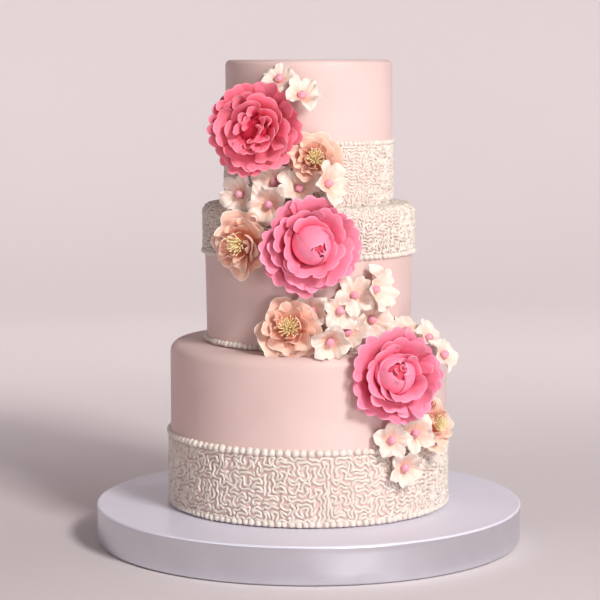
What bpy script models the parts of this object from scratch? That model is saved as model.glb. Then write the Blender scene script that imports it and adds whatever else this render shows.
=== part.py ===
"""A three-tier wedding cake on a round stand, with a cascade of sugar flowers down its front.

Metres, +Z up. The origin is the middle of the stand's underside, and the front of the cake faces -Y.
"""

import math
import random

import bmesh
import bpy
from mathutils import Euler, Matrix, Vector
from mathutils.bvhtree import BVHTree

MM = 0.001
GAP = 0.3 * MM

# Driving dimensions of the stand and the tiers
STAND_RADIUS = 0.2032
STAND_HEIGHT = 0.0354
STAND_EDGE = 2.0 * MM

BOTTOM_RADIUS = 0.1319
BOTTOM_HEIGHT = 0.1546
BOTTOM_SHOULDER = 10.0 * MM

MIDDLE_BASE_RADIUS = 0.0968
MIDDLE_TOP_RADIUS = 0.0992
MIDDLE_HEIGHT = 0.1295
MIDDLE_SHOULDER = 7.5 * MM

TOP_RADIUS = 0.0786
TOP_HEIGHT = 0.1350
TOP_SHOULDER = 5.0 * MM

BOTTOM_Z = STAND_HEIGHT + GAP
MIDDLE_Z = BOTTOM_Z + BOTTOM_HEIGHT + GAP
TOP_Z = MIDDLE_Z + MIDDLE_HEIGHT + GAP

# Piped borders of pearls: height of the ring's middle, pearl radius and how many pearls go round
BOTTOM_BASE_PEARLS = (BOTTOM_Z + 3.3 * MM, 3.2 * MM, 134)
BOTTOM_BAND_PEARLS = (0.1040, 3.7 * MM, 118)
MIDDLE_BASE_PEARLS = (MIDDLE_Z + 3.1 * MM, 3.0 * MM, 104)
MIDDLE_BAND_PEARLS = (0.2766, 2.9 * MM, 112)
TOP_BAND_PEARLS = (0.3792, 2.4 * MM, 108)

# Piped lace stands this far off the icing, and its relief goes up and down by this much
LACE_PROUD = 1.3 * MM
LACE_RELIEF = 0.5 * MM

# Columns round a plain wall, and round a band of lace
BOTTOM_COLUMNS = 64
MIDDLE_COLUMNS = 52
TOP_COLUMNS = 44
LACE_COLUMNS = 72

PETAL_THICKNESS = 1.4 * MM
PEARL_CENTRE_RADIUS = 3.9 * MM

# The flowers, in the order in which they are pushed in. Each row is:
# name, angle, height, turn, tilt, spin, radius, cup, start
# angle goes round the cake from its front, positive to the right, and height is of the flower's throat.
# turn and tilt aim the face off the outward direction, to the right and upwards, in degrees, and spin is
# about the flower's own axis. start is how far off the wall the throat is when the flower begins to
# slide outwards to the first place where it touches nothing.
PEONIES = (
    ("peony_1", -31.0, 0.3930, 24.0, 0.0, 10.0, 0.0425, 1.0, 0.003),
    ("peony_2", -0.5, 0.2890, 7.0, 2.0, 40.0, 0.0455, 1.0, 0.003),
    ("peony_3", 34.0, 0.1720, -19.0, 3.0, 75.0, 0.0435, 1.0, 0.003),
)
OPEN_BLOOMS = (
    ("open_bloom_1", 2.8, 0.3640, 2.0, 14.0, 0.0, 0.0260, 1.0, 0.004),
    ("open_bloom_2", -33.5, 0.2900, 2.0, 0.0, 20.0, 0.0290, 1.0, 0.004),
    ("open_bloom_3", -9.3, 0.2130, 6.0, 15.0, 50.0, 0.0295, 1.0, 0.004),
    ("open_bloom_4", 53.3, 0.1220, -4.0, 10.0, 35.0, 0.0245, 1.0, 0.004),
)
BLOSSOMS = (
    ("blossom_07", -21.0, 0.3260, 10.0, -10.0, 10.0, 0.0165, 0.40, 0.002),
    ("blossom_06", -40.9, 0.3334, 14.0, 0.0, 30.0, 0.0170, 0.45, 0.002),
    ("blossom_03", -21.5, 0.3445, 14.0, 10.0, 0.0, 0.0155, 0.45, 0.002),
    ("blossom_05", 8.6, 0.3445, 34.0, 10.0, 12.0, 0.0165, 0.50, 0.002),
    ("blossom_04", -5.5, 0.3378, 4.0, 30.0, 36.0, 0.0170, 0.55, 0.002),
    ("blossom_01", -18.0, 0.4355, 10.0, 48.0, 0.0, 0.0170, 0.50, 0.002),
    ("blossom_02", -4.0, 0.4210, 24.0, 46.0, 20.0, 0.0175, 0.50, 0.002),
    ("blossom_13", 34.9, 0.2470, 22.0, 5.0, 0.0, 0.0210, 0.50, 0.002),
    ("blossom_10", 23.6, 0.2420, -6.0, 15.0, 8.0, 0.0160, 0.35, 0.002),
    ("blossom_12", 34.4, 0.2185, -20.0, 18.0, 30.0, 0.0165, 0.35, 0.002),
    ("blossom_09", 14.8, 0.2300, 0.0, 0.0, 50.0, 0.0148, 0.40, 0.002),
    ("blossom_08", 2.1, 0.2300, -22.0, -5.0, 5.0, 0.0175, 0.50, 0.002),
    ("blossom_11", 20.3, 0.2078, -14.0, 32.0, 20.0, 0.0180, 0.50, 0.002),
    ("blossom_14", 8.6, 0.2060, -4.0, -22.0, 40.0, 0.0165, 0.45, 0.004),
    ("blossom_15", 56.5, 0.2035, -26.0, 45.0, 0.0, 0.0165, 0.40, 0.004),
    ("blossom_16", 59.5, 0.1975, -10.0, 45.0, 30.0, 0.0165, 0.40, 0.004),
    ("blossom_17", 57.5, 0.1850, -4.0, 24.0, 10.0, 0.0160, 0.40, 0.002),
    ("blossom_19", 42.0, 0.1190, -30.0, -2.0, 15.0, 0.0165, 0.40, 0.002),
    ("blossom_18", 32.6, 0.1138, -26.0, 5.0, 50.0, 0.0160, 0.45, 0.002),
    ("blossom_20", 39.4, 0.0872, -16.0, -10.0, 25.0, 0.0175, 0.45, 0.002),
)
SLIDE_STEP = 0.5 * MM
SLIDE_LIMIT = 0.080

# Base colours, roughness and metallic value of each material
ICING = ("blush_icing", (0.80, 0.60, 0.55), 0.55, 0.0)
STAND_FINISH = ("stand_pearl", (0.72, 0.70, 0.76), 0.30, 0.6)
PEONY_PINK = ("peony_pink", (0.85, 0.16, 0.27), 0.60, 0.0)
BLOOM_PEACH = ("bloom_peach", (0.80, 0.45, 0.34), 0.60, 0.0)
STAMEN_YELLOW = ("stamen_yellow", (0.90, 0.68, 0.30), 0.60, 0.0)
BLOSSOM_IVORY = ("blossom_ivory", (0.90, 0.82, 0.72), 0.60, 0.0)
CENTRE_PINK = ("centre_pink", (0.85, 0.40, 0.50), 0.60, 0.0)


def clear_scene():
    """Removes what the file opened with."""
    for thing in list(bpy.data.objects):
        bpy.data.objects.remove(thing)


def material(finish):
    """The named material, made on first use."""
    name, colour, roughness, metallic = finish
    found = bpy.data.materials.get(name)
    if found:
        return found
    made = bpy.data.materials.new(name)
    made.use_nodes = True
    shader = made.node_tree.nodes["Principled BSDF"]
    shader.inputs["Base Color"].default_value = (*colour, 1.0)
    shader.inputs["Roughness"].default_value = roughness
    shader.inputs["Metallic"].default_value = metallic
    return made


def add_object(name, mesh, finish, sharp_angle=40.0):
    """Links a mesh as a named object with smooth shading and its material."""
    mesh.materials.append(material(finish))
    mesh.shade_smooth()
    mesh.set_sharp_from_angle(angle=math.radians(sharp_angle))
    thing = bpy.data.objects.new(name, mesh)
    bpy.context.scene.collection.objects.link(thing)
    return thing


# Skins made of rings, one above the next, that close at a point at each end


def ring(columns, radius_at, height_at):
    """Points round the axis as (angle, point); radius and height are functions of the column and angle."""
    points = []
    for column in range(columns):
        angle = 2 * math.pi * column / columns
        radius = radius_at(column, angle)
        points.append(
            (angle, Vector((radius * math.cos(angle), radius * math.sin(angle), height_at(column, angle))))
        )
    return points


def plain_ring(columns, radius, height):
    """A level ring of one radius."""
    return ring(columns, lambda column, angle: radius, lambda column, angle: height)


def bridge(bm, lower, upper):
    """Triangles between two rings of any two counts, stepping on whichever ring is behind."""
    low, high = 0, 0
    while low < len(lower) or high < len(upper):
        next_low = lower[(low + 1) % len(lower)][0] + 2 * math.pi * ((low + 1) // len(lower))
        next_high = upper[(high + 1) % len(upper)][0] + 2 * math.pi * ((high + 1) // len(upper))
        a = lower[low % len(lower)][1]
        b = upper[high % len(upper)][1]
        if high == len(upper) or (low < len(lower) and next_low <= next_high):
            bm.faces.new((a, lower[(low + 1) % len(lower)][1], b))
            low += 1
        else:
            bm.faces.new((a, upper[(high + 1) % len(upper)][1], b))
            high += 1


def skin(name, rings, first_point, last_point):
    """A closed mesh through the rings in order, with a fan to a point at each end."""
    bm = bmesh.new()
    made = [[(angle, bm.verts.new(point)) for angle, point in one] for one in rings]
    for lower, upper in zip(made, made[1:]):
        bridge(bm, lower, upper)
    for one, point in ((made[0], first_point), (made[-1], last_point)):
        tip = bm.verts.new(point)
        for index, (_, vertex) in enumerate(one):
            bm.faces.new((vertex, one[(index + 1) % len(one)][1], tip))
    bmesh.ops.recalc_face_normals(bm, faces=bm.faces)
    mesh = bpy.data.meshes.new(name)
    bm.to_mesh(mesh)
    bm.free()
    return mesh


# The stand and the tiers


def build_stand():
    """A round drum with its edges broken."""
    columns = BOTTOM_COLUMNS
    top_z = STAND_HEIGHT
    rings = [
        plain_ring(columns, STAND_RADIUS - STAND_EDGE, 0.0),
        plain_ring(columns, STAND_RADIUS, STAND_EDGE),
        plain_ring(columns, STAND_RADIUS, top_z - STAND_EDGE),
        plain_ring(columns, STAND_RADIUS - STAND_EDGE, top_z),
    ]
    mesh = skin("stand", rings, Vector((0, 0, 0)), Vector((0, 0, top_z)))
    return add_object("stand", mesh, STAND_FINISH, 30.0)


def pearl_rings(pearls, wall_radius, columns_below, columns_above):
    """A string of pearls on a wall: a ridge that swells out at each pearl and draws in between two."""
    height, radius, count = pearls

    def swell(column, angle):
        return wall_radius + radius * (1.75 if column % 2 == 0 else 0.85)

    return [
        plain_ring(columns_below, wall_radius, height - radius),
        ring(2 * count, swell, lambda column, angle: height),
        plain_ring(columns_above, wall_radius, height + radius),
    ]


def lace_ring(columns, radius, height, row, outward=1.0, upward=0.0):
    """One row of the lace's relief, whose bumps step by half from row to row."""

    def lift(column):
        return LACE_PROUD + LACE_RELIEF * (1 if (column + row) % 2 else -1)

    return ring(
        columns,
        lambda column, angle: radius + outward * lift(column),
        lambda column, angle: height + upward * lift(column),
    )


def lace_wall(columns, radius, low, high, rows):
    """Rows of lace relief up a wall, from just over one border to just under the next."""
    return [
        lace_ring(columns, radius, low + (high - low) * row / (rows - 1), row)
        for row in range(rows)
    ]


def shoulder(columns, radius, top_z, size, steps):
    """The rounded edge between a tier's wall and its top."""
    rings = []
    for step in range(steps + 1):
        turn = math.pi / 2 * step / steps
        rings.append(
            plain_ring(columns, radius - size + size * math.cos(turn), top_z - size + size * math.sin(turn))
        )
    return rings


def build_bottom_tier():
    """The widest tier: lace round its lower part between two borders of pearls."""
    base_z = BOTTOM_Z
    top_z = base_z + BOTTOM_HEIGHT
    lace_low = BOTTOM_BASE_PEARLS[0] + BOTTOM_BASE_PEARLS[1] + 1.0 * MM
    lace_high = BOTTOM_BAND_PEARLS[0] - BOTTOM_BAND_PEARLS[1] - 1.0 * MM
    rings = [
        *pearl_rings(BOTTOM_BASE_PEARLS, BOTTOM_RADIUS, BOTTOM_COLUMNS, BOTTOM_COLUMNS),
        *lace_wall(LACE_COLUMNS, BOTTOM_RADIUS, lace_low, lace_high, 4),
        *pearl_rings(BOTTOM_BAND_PEARLS, BOTTOM_RADIUS, BOTTOM_COLUMNS, BOTTOM_COLUMNS),
        *shoulder(BOTTOM_COLUMNS, BOTTOM_RADIUS, top_z, BOTTOM_SHOULDER, 3),
    ]
    mesh = skin("tier_bottom", rings, Vector((0, 0, base_z)), Vector((0, 0, top_z)))
    return add_object("tier_bottom", mesh, ICING)


def build_middle_tier():
    """The middle tier: pearls at its foot, and lace from a second border up and across its top."""
    base_z = MIDDLE_Z
    top_z = base_z + MIDDLE_HEIGHT
    size = MIDDLE_SHOULDER
    inner = MIDDLE_TOP_RADIUS - size
    lace_low = MIDDLE_BAND_PEARLS[0] + MIDDLE_BAND_PEARLS[1] + 1.0 * MM
    slant = math.sqrt(0.5)
    lace_edge = lace_ring(
        LACE_COLUMNS, inner + size * slant, top_z - size + size * slant, 1, slant, slant
    )
    lace_top = lace_ring(LACE_COLUMNS, inner, top_z, 0, 0.0, 1.0)
    rings = [
        *pearl_rings(MIDDLE_BASE_PEARLS, MIDDLE_BASE_RADIUS, MIDDLE_COLUMNS, MIDDLE_COLUMNS),
        *pearl_rings(MIDDLE_BAND_PEARLS, MIDDLE_TOP_RADIUS, MIDDLE_COLUMNS, MIDDLE_COLUMNS),
        *lace_wall(LACE_COLUMNS, MIDDLE_TOP_RADIUS, lace_low, top_z - size, 3),
        lace_edge,
        lace_top,
        plain_ring(TOP_COLUMNS, TOP_RADIUS + LACE_PROUD + 3.0 * MM, top_z),
    ]
    mesh = skin("tier_middle", rings, Vector((0, 0, base_z)), Vector((0, 0, top_z)))
    return add_object("tier_middle", mesh, ICING)


def build_top_tier():
    """The smallest tier: lace from its foot up to a border of pearls, and plain icing over it."""
    base_z = TOP_Z
    top_z = base_z + TOP_HEIGHT
    lace_high = TOP_BAND_PEARLS[0] - TOP_BAND_PEARLS[1] - 1.0 * MM
    rings = [
        plain_ring(TOP_COLUMNS, TOP_RADIUS, base_z),
        *lace_wall(LACE_COLUMNS, TOP_RADIUS, base_z + 2.0 * MM, lace_high, 4),
        *pearl_rings(TOP_BAND_PEARLS, TOP_RADIUS, TOP_COLUMNS, TOP_COLUMNS),
        *shoulder(TOP_COLUMNS, TOP_RADIUS, top_z, TOP_SHOULDER, 2),
    ]
    mesh = skin("tier_top", rings, Vector((0, 0, base_z)), Vector((0, 0, top_z)))
    return add_object("tier_top", mesh, ICING)


# The flowers, each modelled facing +Z with its throat or back at the origin


def petal_edge(count, phase, notch, power=0.6):
    """Radius factor round a flower: 1 at each petal's middle, less by notch where two petals meet."""

    def factor(angle):
        across = abs(math.sin((angle - phase) * count / 2))
        return 1 - notch * (1 - across**power)

    return factor


def peony_mesh(name, size):
    """Three ruffled bowls of petals, one in the next, round a closed bud. size is the outermost radius."""
    scallops = 18
    columns = 2 * scallops
    draw = random.Random(name)
    waves = [(draw.uniform(0, 6.3), draw.uniform(0, 6.3)) for _ in range(3)]

    def layer(level, radius, height, rim):
        """A ring of one bowl; rim goes from 0 at its foot to 1 at its frilled edge."""
        first, second = waves[level]
        petals = petal_edge(5, first, 0.10)

        def radius_at(column, angle):
            scallop = 0.035 if column % 2 == 0 else -0.035
            return size * radius * (1 + rim * (scallop + petals(angle) - 1))

        def height_at(column, angle):
            wave = 0.045 * math.sin(5 * angle + second) + 0.02 * math.sin(3 * angle + first)
            return size * (height + rim * wave)

        return ring(columns, radius_at, height_at)

    wall = 1.5 * MM / size
    rings = [
        plain_ring(9, size * 0.10, 0.0),
        layer(0, 0.50, 0.10, 0.0),
        layer(0, 1.00, 0.40, 1.0),
        layer(0, 0.985, 0.40 + wall, 1.0),
        layer(0, 0.66, 0.29, 0.3),
        layer(1, 0.83, 0.55, 1.0),
        layer(1, 0.80, 0.55 + wall, 1.0),
        layer(1, 0.52, 0.40, 0.2),
        layer(2, 0.62, 0.70, 1.0),
        layer(2, 0.585, 0.70 + wall, 1.0),
        plain_ring(18, size * 0.40, size * 0.52),
        plain_ring(18, size * 0.37, size * 0.74),
        plain_ring(12, size * 0.22, size * 0.87),
    ]
    return skin(name, rings, Vector((0, 0, 0)), Vector((0, 0, size * 0.82)))


def open_bloom_mesh(name, size):
    """Two bowls of five rounded petals round an open floor, on which the stamens stand."""
    columns = 20
    wall = PETAL_THICKNESS

    def layer(radius, height, petals):
        return ring(
            columns,
            lambda column, angle: size * radius * petals(angle),
            lambda column, angle: size * height + (petals(angle) - 1) * 0.15 * size,
        )

    outer = petal_edge(5, 0.0, 0.22)
    inner = petal_edge(5, math.pi / 5, 0.15)
    foot = petal_edge(5, 0.0, 0.0)
    rings = [
        layer(0.50, 0.10, foot),
        layer(1.00, 0.42, outer),
        layer(0.97, 0.42 + wall / size, outer),
        layer(0.62, 0.32, foot),
        layer(0.76, 0.60, inner),
        layer(0.70, 0.60 + 0.4 * wall / size, inner),
        layer(0.40, 0.34, foot),
    ]
    return skin(name, rings, Vector((0, 0, 0)), Vector((0, 0, size * 0.31)))


def stamens_mesh(name, size):
    """A tuft of stamens as one bristly dome over the bloom's floor."""
    columns = 12

    def bristle(radius, height, row):
        return ring(
            columns,
            lambda column, angle: size * radius * (1.10 if (column + row) % 2 else 0.90),
            lambda column, angle: size * (height + (0.02 if (column + row) % 2 else -0.02)),
        )

    rings = [bristle(0.22, 0.39, 0), bristle(0.34, 0.56, 1), bristle(0.22, 0.74, 0)]
    return skin(name, rings, Vector((0, 0, size * 0.36)), Vector((0, 0, size * 0.78)))


def blossom_mesh(name, size, cup):
    """One cup of five petals. cup is the rim's height as a share of the radius."""
    columns = 15
    petals = petal_edge(5, 0.0, 0.30)

    def layer(radius, drop):
        rise = cup * radius**1.4

        def radius_at(column, angle):
            return size * radius * (1 + (petals(angle) - 1) * radius)

        return ring(columns, radius_at, lambda column, angle: size * rise - drop)

    rings = [
        layer(0.45, PETAL_THICKNESS),
        layer(1.00, PETAL_THICKNESS),
        layer(0.985, 0.0),
        layer(0.45, 0.0),
    ]
    return skin(name, rings, Vector((0, 0, -2.4 * MM)), Vector((0, 0, 0)))


def ball_mesh(name, radius, middle):
    """A small sugar ball on the flower's axis."""
    columns, rows = 8, 4
    rings = []
    for row in range(1, rows):
        turn = math.pi * row / rows
        rings.append(plain_ring(columns, radius * math.sin(turn), middle - radius * math.cos(turn)))
    return skin(name, rings, Vector((0, 0, middle - radius)), Vector((0, 0, middle + radius)))


# Placing the flowers


def wall_radius(height):
    """The radius of the tier whose wall is at this height."""
    if height < MIDDLE_Z:
        return BOTTOM_RADIUS
    if height < TOP_Z:
        return MIDDLE_TOP_RADIUS
    return TOP_RADIUS


def aim(angle, turn, tilt, spin):
    """Rotation that faces a flower outwards at an angle round the cake, then turned, tilted and spun."""
    upright = Euler((math.pi / 2, 0, 0)).to_matrix().to_4x4()
    around = Matrix.Rotation(math.radians(angle + turn), 4, "Z")
    lift = Matrix.Rotation(-math.radians(tilt), 4, "X")
    return around @ upright @ lift @ Matrix.Rotation(math.radians(spin), 4, "Z")


def swollen_tree(things, matrix):
    """A search tree of the meshes at a place, with every face moved out by the gap."""
    points, faces = [], []
    for thing in things:
        start = len(points)
        points += [matrix @ (vertex.co + GAP * vertex.normal) for vertex in thing.data.vertices]
        faces += [[start + index for index in face.vertices] for face in thing.data.polygons]
    return BVHTree.FromPolygons(points, faces)


def plain_tree(thing):
    """A search tree of an object's mesh where it stands."""
    points = [thing.matrix_world @ vertex.co for vertex in thing.data.vertices]
    return BVHTree.FromPolygons(points, [list(face.vertices) for face in thing.data.polygons])


def push_in(things, row, placed):
    """Slides a flower out from the wall to the first place where it touches nothing else."""
    _, angle, height, turn, tilt, spin, _, _, start = row
    outward = Vector((math.sin(math.radians(angle)), -math.cos(math.radians(angle)), 0))
    facing = aim(angle, turn, tilt, spin)
    distance = wall_radius(height) + start
    limit = distance + SLIDE_LIMIT
    while distance < limit:
        place = Matrix.Translation(outward * distance + Vector((0, 0, height))) @ facing
        tree = swollen_tree(things, place)
        if not any(tree.overlap(other) for other in placed):
            break
        distance += SLIDE_STEP
    for thing in things:
        thing.matrix_world = place
    bpy.context.view_layer.update()
    placed += [plain_tree(thing) for thing in things]


def build_flowers(placed):
    """All the flowers: open blooms nearest the icing, peonies over them, and blossoms that fill in."""
    for row in OPEN_BLOOMS:
        name, size = row[0], row[6]
        bloom = add_object(name, open_bloom_mesh(name, size), BLOOM_PEACH)
        tuft_name = name.replace("open_bloom", "stamens")
        tuft = add_object(tuft_name, stamens_mesh(tuft_name, size), STAMEN_YELLOW)
        push_in([bloom, tuft], row, placed)
    for row in PEONIES:
        name, size = row[0], row[6]
        push_in([add_object(name, peony_mesh(name, size), PEONY_PINK)], row, placed)
    for row in BLOSSOMS:
        name, size, cup = row[0], row[6], row[7]
        blossom = add_object(name, blossom_mesh(name, size, cup), BLOSSOM_IVORY)
        ball_name = name.replace("blossom", "blossom_centre")
        middle = PEARL_CENTRE_RADIUS + GAP + 0.2 * MM
        ball = add_object(ball_name, ball_mesh(ball_name, PEARL_CENTRE_RADIUS, middle), CENTRE_PINK)
        push_in([blossom, ball], row, placed)


def build():
    """The whole cake on its stand."""
    clear_scene()
    solid = [build_stand(), build_bottom_tier(), build_middle_tier(), build_top_tier()]
    bpy.context.view_layer.update()
    placed = [plain_tree(thing) for thing in solid]
    build_flowers(placed)


build()
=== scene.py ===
"""Looks of a three-tier wedding cake on its stand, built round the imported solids.

Everything is in metres in the row frame: +Z is up and the front of the cake faces -Y.
"""

import math
import random

import bpy
import numpy as np
from mathutils import Euler, Matrix, Vector


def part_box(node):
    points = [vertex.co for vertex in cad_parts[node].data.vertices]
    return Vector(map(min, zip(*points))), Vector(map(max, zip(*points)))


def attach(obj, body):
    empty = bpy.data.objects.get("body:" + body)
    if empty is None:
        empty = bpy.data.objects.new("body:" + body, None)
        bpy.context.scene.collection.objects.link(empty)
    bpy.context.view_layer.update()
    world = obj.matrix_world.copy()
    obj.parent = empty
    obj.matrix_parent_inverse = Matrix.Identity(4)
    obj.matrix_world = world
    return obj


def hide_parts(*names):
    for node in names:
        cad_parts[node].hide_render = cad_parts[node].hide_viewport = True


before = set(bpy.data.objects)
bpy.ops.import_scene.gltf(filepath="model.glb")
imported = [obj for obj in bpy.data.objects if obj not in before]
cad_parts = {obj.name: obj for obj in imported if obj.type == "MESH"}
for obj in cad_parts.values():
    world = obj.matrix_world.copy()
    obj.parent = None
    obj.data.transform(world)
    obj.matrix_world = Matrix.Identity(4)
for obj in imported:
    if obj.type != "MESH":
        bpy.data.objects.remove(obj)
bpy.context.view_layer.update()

MM = 0.001
TURN = 2 * math.pi

# The photograph's camera: its place, how far it looks down and to the left in degrees, and its lens in mm
CAMERA_PLACE = (0.0, -1.9768, 0.4510)
CAMERA_DOWN = 6.44
CAMERA_LEFT = 0.2406
LENS = 125.15
SENSOR = 36.0

# The height of the cake's middle, which the lights face
CAKE_MIDDLE = 0.22

# Dimensions of the tiers, as the solids have them
BOTTOM_RADIUS = 0.1319
BOTTOM_SHOULDER = 10.0 * MM
MIDDLE_BASE_RADIUS = 0.0968
MIDDLE_TOP_RADIUS = 0.0992
MIDDLE_SHOULDER = 7.5 * MM
TOP_RADIUS = 0.0786
TOP_SHOULDER = 5.0 * MM
TIER_GAP = 0.3 * MM

# Heights of the tiers' feet and tops
BOTTOM_FOOT, MIDDLE_FOOT, TOP_FOOT = (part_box(f"tier_{tier}")[0].z for tier in ("bottom", "middle", "top"))
BOTTOM_TOP = MIDDLE_FOOT - TIER_GAP
MIDDLE_TOP = TOP_FOOT - TIER_GAP
CAKE_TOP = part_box("tier_top")[1].z

# Columns round a turned piece, and rows of a rounded edge
TURNED_COLUMNS = 224
EDGE_ROWS = 10

# Heights of the strings of pearls
PEARLS_BOTTOM_LOW = BOTTOM_FOOT + 3.3 * MM
PEARLS_BOTTOM_HIGH = 0.1040
PEARLS_MIDDLE_LOW = MIDDLE_FOOT + 3.1 * MM
PEARLS_MIDDLE_HIGH = 0.2766
PEARLS_TOP_HIGH = 0.3792

# Heights of the lace's edges, and the gap left before the next wall by the middle tier's lace, which goes on
# across its top
LACE_BOTTOM_LOW = 0.0402
LACE_BOTTOM_HIGH = PEARLS_BOTTOM_HIGH - 3.4 * MM
LACE_MIDDLE_LOW = PEARLS_MIDDLE_HIGH + 2.6 * MM
LACE_INNER_GAP = 1.0 * MM
LACE_TOP_LOW = TOP_FOOT + 0.6 * MM
LACE_TOP_HIGH = PEARLS_TOP_HIGH - 2.2 * MM

# The lace's pitch from line to line, low and high on the cake, a line's half width and height in pitches, and
# how deep it is sunk into the icing
LACE_PITCH = 3.8 * MM
FINE_PITCH = 2.95 * MM
LACE_HALF_WIDTH = 0.36
LACE_HEIGHT = 0.68
SUNK = 0.15 * MM

# How the lace wanders: points from bend to bend, the chance that its tree grows on from its newest cell, and
# how far in pitches its bends are scattered, pushed out and in by turns, and swayed by slow waves
LACE_STEPS = 4
LACE_WANDER = 0.3
LACE_LOOSE = 0.2
LACE_WAVE = 0.26
LACE_SWAY = 0.1

# Blossoms: how far a solid reaches behind its throat, how far the petals spread past the radius given below,
# and the height and radius of the sugar pearl
CALYX = 2.4 * MM
PETAL_SPREAD = 1.07
BALL_HEIGHT = 4.4 * MM
BALL_RADIUS = 3.9 * MM

# The angle from one stamen or curled petal to the next, which spreads them evenly
SPIRAL_STEP = 2.4

# The length of a scallop along a peony's petal, from its outer to its inner ring
SCALLOPS = (12.5 * MM, 15.0 * MM, 17.0 * MM)

# Settings of the petals, which petal() explains
PEONY_STYLE = dict(scallop=0.12, corner=0.06, ruffle=0.08, waves=1.0, curl=0.10, root=0.7, thick=0.85 * MM)
HEART_STYLE = dict(
    lobes=3, scallop=0.06, corner=0.14, ruffle=0.05, waves=1.4, lean=0.05, curl=0.0, root=0.9, thick=1.3 * MM
)
BLOOM_STYLE = dict(
    lobes=3, scallop=0.06, corner=0.14, waves=1.8, lean=0.10, curl=0.14, root=0.5, thick=0.6 * MM
)

# Flowers where the solids have them: the angle round the cake from its front to the right, the height of the
# throat, the turn, tilt and spin that aim the flower, and the radius of its petals
PEONIES = (
    (-31.0, 0.3930, 24.0, 0.0, 0.0, 0.0425),
    (-0.5, 0.2890, 7.0, 2.0, 0.0, 0.0455),
    (34.0, 0.1720, -19.0, 3.0, 0.0, 0.0435),
)

# Petals of each peony from its outer to its inner ring: angle and half width in degrees, and reach of the rim
PEONY_PETALS = {
    "peony_1": (
        ((93, 36, 1.02), (54, 36, 0.98), (12, 32, 1.0), (335, 28, 0.90), (292, 32, 0.95), (250, 32, 1.02),
         (205, 34, 0.96), (158, 34, 0.97), (126, 26, 0.97)),
        ((55, 44, 0.72), (350, 32, 0.74), (310, 38, 0.78), (255, 44, 0.84), (175, 38, 0.79), (138, 36, 0.78),
         (100, 34, 0.76)),
        ((205, 48, 0.58), (262, 42, 0.52), (115, 48, 0.58), (20, 46, 0.55), (325, 42, 0.50)),
    ),
    "peony_2": (
        ((82, 36, 0.96), (140, 32, 0.93), (186, 30, 0.98), (238, 34, 1.02), (298, 36, 0.93), (0, 38, 1.0),
         (42, 24, 0.93)),
        ((205, 36, 0.78), (262, 38, 0.80), (330, 42, 0.87), (42, 38, 0.76), (104, 36, 0.72), (155, 34, 0.76)),
        ((190, 50, 0.58), (255, 50, 0.61), (318, 46, 0.64), (85, 52, 0.56), (20, 40, 0.48)),
    ),
    "peony_3": (
        ((150, 34, 1.02), (196, 28, 0.98), (238, 32, 0.98), (278, 28, 0.97), (322, 34, 0.90), (12, 34, 0.89),
         (62, 32, 0.94), (108, 30, 0.96)),
        ((190, 36, 0.68), (248, 42, 0.77), (302, 36, 0.81), (352, 44, 0.88), (130, 38, 0.70), (84, 38, 0.80),
         (40, 34, 0.78)),
        ((200, 46, 0.52), (262, 44, 0.49), (328, 42, 0.52), (110, 52, 0.52), (40, 44, 0.47)),
    ),
}

# The bud of a peony, in shares of its radius: the ball's radius, the opening round its tip, how far the tip
# leans to the right and upwards in degrees, and how far the bud is off the flower's axis
BUDS = {
    "peony_2": (0.345, 0.12, (17, -12), (0.05, 0.03)),
    "peony_3": (0.36, 0.26, (-6, 14), (-0.06, 0.08)),
}

# The curled petals in the heart of a peony: how many, how far they stand from their middle, their height, the
# radius of a curl, and their middle
HEARTS = {
    "peony_1": (13, 0.33, 0.76, 0.115, (0.0, 0.0)),
    "peony_2": (3, 0.05, 0.81, 0.05, (0.15, -0.04)),
    "peony_3": (6, 0.10, 0.86, 0.07, (-0.06, 0.10)),
}

# Open blooms also have the share of their reach that the petals keep that hang down on other flowers
OPEN_BLOOMS = (
    (2.8, 0.3640, 2.0, 14.0, 0.0, 0.0260, 0.66),
    (-33.5, 0.2900, 2.0, 0.0, 20.0, 0.0290, 1.0),
    (-9.3, 0.2130, 6.0, 15.0, 50.0, 0.0295, 1.0),
    (53.3, 0.1220, -4.0, 10.0, 35.0, 0.0245, 1.0),
)

# Blossoms also have the depth of their cup
BLOSSOMS = (
    (-18.0, 0.4355, 10.0, 48.0, 36.0, 0.0156, 0.36),
    (-4.0, 0.4210, 24.0, 46.0, 20.0, 0.0166, 0.50),
    (-21.5, 0.3445, 14.0, 10.0, 0.0, 0.0184, 0.45),
    (-5.5, 0.3378, 4.0, 30.0, 36.0, 0.0198, 0.55),
    (8.6, 0.3445, 34.0, 10.0, 12.0, 0.0190, 0.50),
    (-40.9, 0.3334, 14.0, 0.0, 30.0, 0.0180, 0.45),
    (-21.0, 0.3260, 10.0, -10.0, 10.0, 0.0194, 0.40),
    (2.1, 0.2300, -22.0, -5.0, 5.0, 0.0185, 0.50),
    (14.8, 0.2300, 0.0, 0.0, 50.0, 0.0165, 0.40),
    (23.6, 0.2420, -6.0, 15.0, 8.0, 0.0180, 0.35),
    (20.3, 0.2078, -14.0, 32.0, 20.0, 0.0192, 0.50),
    (34.4, 0.2185, -20.0, 18.0, 30.0, 0.0182, 0.35),
    (34.9, 0.2470, 22.0, 5.0, 0.0, 0.0210, 0.50),
    (8.6, 0.2060, -4.0, -22.0, 40.0, 0.0180, 0.45),
    (56.5, 0.2035, -26.0, 45.0, 0.0, 0.0165, 0.40),
    (59.5, 0.1975, -10.0, 45.0, 30.0, 0.0165, 0.40),
    (57.5, 0.1850, -4.0, 24.0, 10.0, 0.0160, 0.40),
    (32.6, 0.1138, -26.0, 5.0, 50.0, 0.0162, 0.45),
    (42.0, 0.1190, -30.0, -2.0, 15.0, 0.0170, 0.40),
    (39.4, 0.0872, -16.0, -10.0, 25.0, 0.0175, 0.45),
)


# Meshes


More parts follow.
